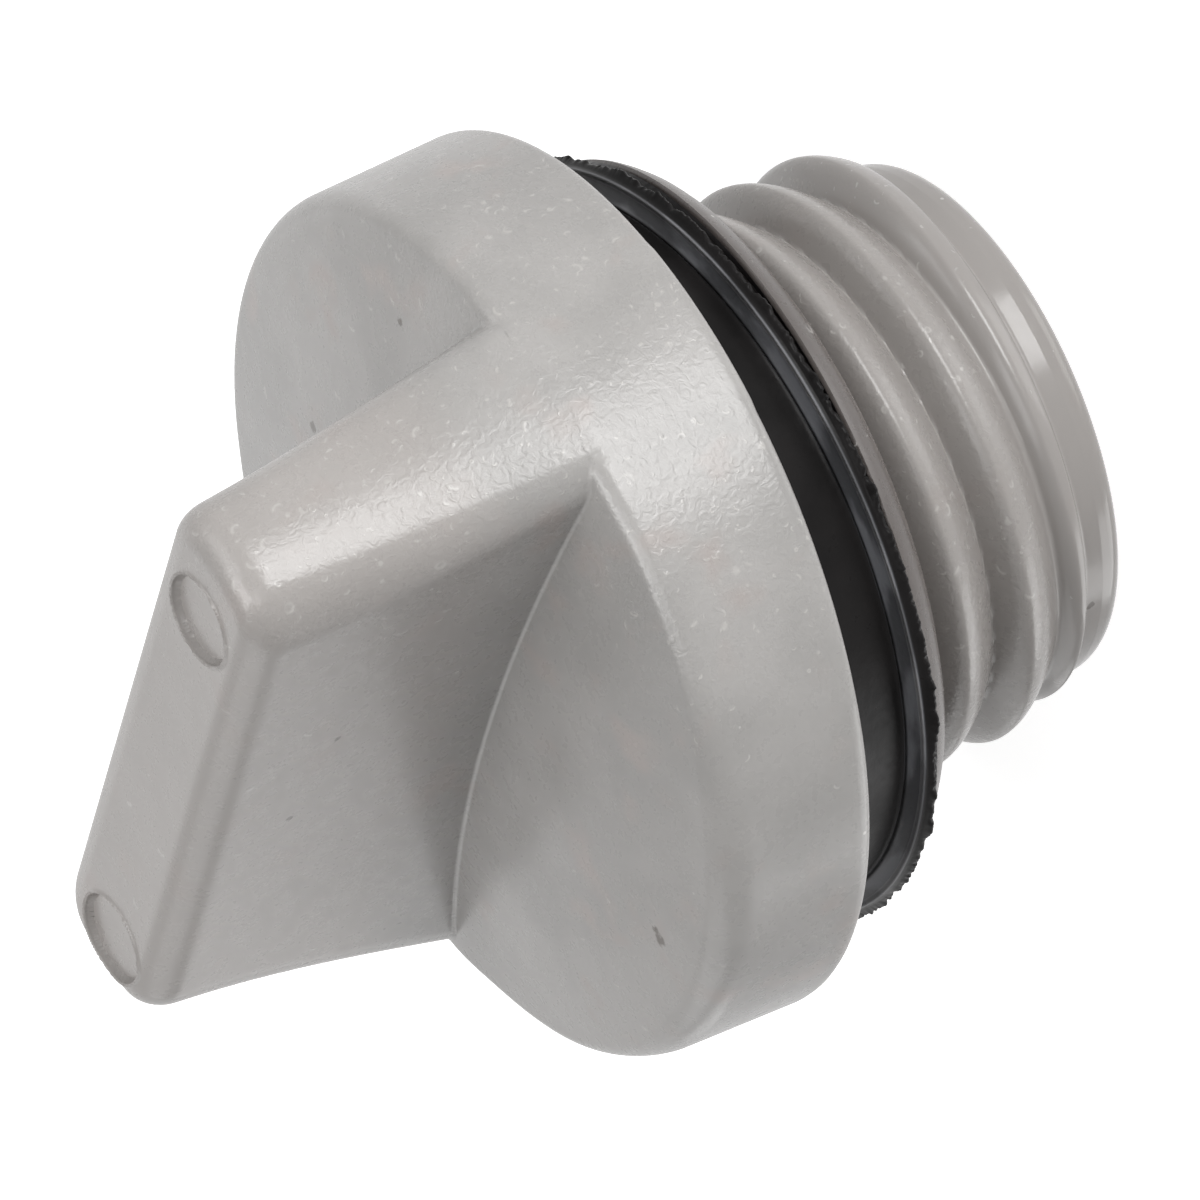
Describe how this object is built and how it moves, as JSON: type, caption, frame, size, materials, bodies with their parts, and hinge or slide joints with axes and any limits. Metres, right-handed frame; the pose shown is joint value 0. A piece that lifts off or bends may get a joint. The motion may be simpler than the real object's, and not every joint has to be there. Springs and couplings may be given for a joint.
{
  "type": "transmission oil filler cap",
  "caption": "Moulded screw cap with a finger wing, a hollow threaded stem and a rubber seal ring, which closes the oil filler hole of a gearbox.",
  "frame": {"origin": "On the axis of the thread, at the open end of the hollow stem.", "axes": "+Z runs along the thread's axis from the stem to the wing, +X runs along the wing."},
  "size_m": [0.0304, 0.0304, 0.0316],
  "materials": {
    "grey_plastic": "satin, moulded",
    "black_rubber": "semi-gloss, oiled"
  },
  "bodies": {
    "root": {"filler_cap": "grey_plastic", "seal_ring": "black_rubber"}
  },
  "joints": []
}
